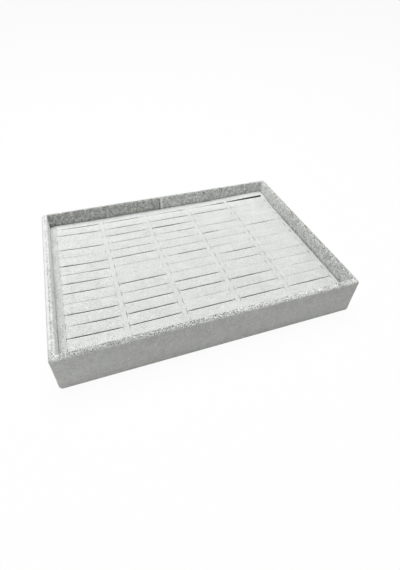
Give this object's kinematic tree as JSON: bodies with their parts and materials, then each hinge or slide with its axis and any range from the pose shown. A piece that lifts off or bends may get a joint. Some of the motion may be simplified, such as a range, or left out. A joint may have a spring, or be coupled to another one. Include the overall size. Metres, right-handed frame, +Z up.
{
  "type": "jewelry tray",
  "caption": "Flat rectangular velvet-covered display tray with raised rim and a lift-out foam insert that holds rings in rows of H-shaped slits.",
  "frame": {"origin": "centre of the underside, on the table", "axes": "+X along the tray to the right, +Y from front to back, +Z up"},
  "size_m": [0.35, 0.25, 0.051],
  "materials": {
    "velvet": "short crushed pile",
    "fibreboard": "sanded",
    "pin_steel": "bright drawn wire",
    "cover_sheet": "matte bonded fibre",
    "grey_card": "uncoated",
    "black_foam": "open cell"
  },
  "bodies": {
    "tray": {"base_board": "fibreboard", "front_wall_board": "fibreboard", "back_wall_board": "fibreboard", "left_wall_board": "fibreboard", "right_wall_board": "fibreboard", "wall_corner_pins": "pin_steel", "base_board_pins": "pin_steel", "velvet_wrap": "velvet", "bottom_cover": "cover_sheet", "floor_liner": "velvet"},
    "insert": {"insert_card": "grey_card", "ring_foam": "black_foam", "insert_velvet": "velvet"}
  },
  "joints": [
    {"name": "insert_lift", "type": "slide", "parent": "tray", "child": "insert", "axis": [0, 0, 1], "range_m": [0, 0.06]}
  ]
}
